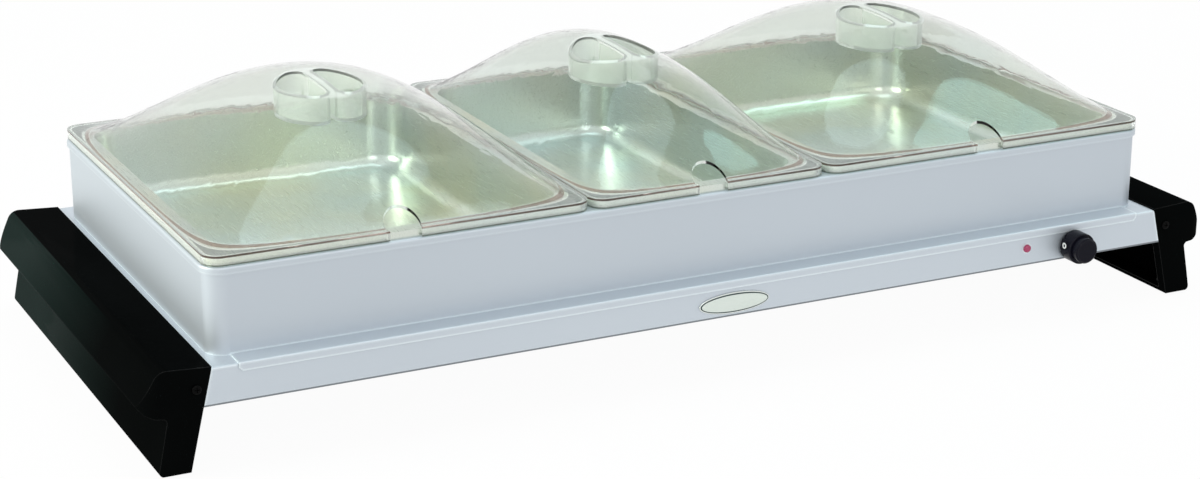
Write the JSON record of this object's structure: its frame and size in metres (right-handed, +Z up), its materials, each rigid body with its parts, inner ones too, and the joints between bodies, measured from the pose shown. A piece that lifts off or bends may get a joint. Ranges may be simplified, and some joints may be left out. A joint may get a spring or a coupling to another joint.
{
  "type": "electric food warmer",
  "caption": "Electric buffet food warmer: low heated housing between moulded end handles, lift-off frame holding side-by-side pans under clear domed lids.",
  "frame": {"origin": "on the ground under the middle of the whole product, knob and cord gland included", "axes": "+X along the row of pans, +Y from the control panel to the back, +Z up"},
  "size_m": [0.8264, 0.3948, 0.2004],
  "materials": {
    "steel": "satin",
    "pan_steel": "satin, drawn",
    "handle_plastic": "gloss black",
    "knob_plastic": "satin black",
    "clear_plastic": "clear with a pale green tint",
    "red_lens": "translucent red",
    "foot_rubber": "matt black",
    "spreader": "mill",
    "zinc": "zinc plated",
    "mica": "mica board",
    "insulation": "fibre blanket",
    "switch_plastic": "moulded",
    "gland_plastic": "black"
  },
  "bodies": {
    "base": {"base_housing": "steel", "bottom_cover": "steel", "heat_spreader": "spreader", "left_element": "mica", "middle_element": "mica", "right_element": "mica", "insulation_blanket": "insulation", "thermal_cutout": "zinc", "thermostat": "switch_plastic", "pilot_lens": "red_lens", "pilot_lamp": "switch_plastic", "cord_gland": "gland_plastic", "terminal_block": "switch_plastic", "left_handle": "handle_plastic", "left_front_foot": "foot_rubber", "left_front_bracket": "zinc", "left_back_foot": "foot_rubber", "left_back_bracket": "zinc", "right_handle": "handle_plastic", "right_front_foot": "foot_rubber", "right_front_bracket": "zinc", "right_back_foot": "foot_rubber", "right_back_bracket": "zinc"},
    "knob": {"control_knob": "knob_plastic", "control_shaft": "zinc"},
    "frame": {"pan_frame": "steel", "left_divider": "steel", "right_divider": "steel"},
    "left_pan_body": {"left_pan": "pan_steel"},
    "left_lid_body": {"left_lid": "clear_plastic"},
    "middle_pan_body": {"middle_pan": "pan_steel"},
    "middle_lid_body": {"middle_lid": "clear_plastic"},
    "right_pan_body": {"right_pan": "pan_steel"},
    "right_lid_body": {"right_lid": "clear_plastic"}
  },
  "joints": [
    {"name": "knob_turn", "type": "hinge", "parent": "base", "child": "knob", "pos_m": [0.2915, -0.1776, 0.05535], "axis": [0, 1, 0], "range_deg": [0, 270]},
    {"name": "frame_lift", "type": "slide", "parent": "base", "child": "frame", "axis": [0, 0, 1], "range_m": [0, 0.08]},
    {"name": "left_pan_lift", "type": "slide", "parent": "frame", "child": "left_pan_body", "axis": [0, 0, 1], "range_m": [0, 0.09]},
    {"name": "left_lid_lift", "type": "slide", "parent": "left_pan_body", "child": "left_lid_body", "axis": [0, 0, 1], "range_m": [0, 0.08]},
    {"name": "middle_pan_lift", "type": "slide", "parent": "frame", "child": "middle_pan_body", "axis": [0, 0, 1], "range_m": [0, 0.09]},
    {"name": "middle_lid_lift", "type": "slide", "parent": "middle_pan_body", "child": "middle_lid_body", "axis": [0, 0, 1], "range_m": [0, 0.08]},
    {"name": "right_pan_lift", "type": "slide", "parent": "frame", "child": "right_pan_body", "axis": [0, 0, 1], "range_m": [0, 0.09]},
    {"name": "right_lid_lift", "type": "slide", "parent": "right_pan_body", "child": "right_lid_body", "axis": [0, 0, 1], "range_m": [0, 0.08]}
  ]
}
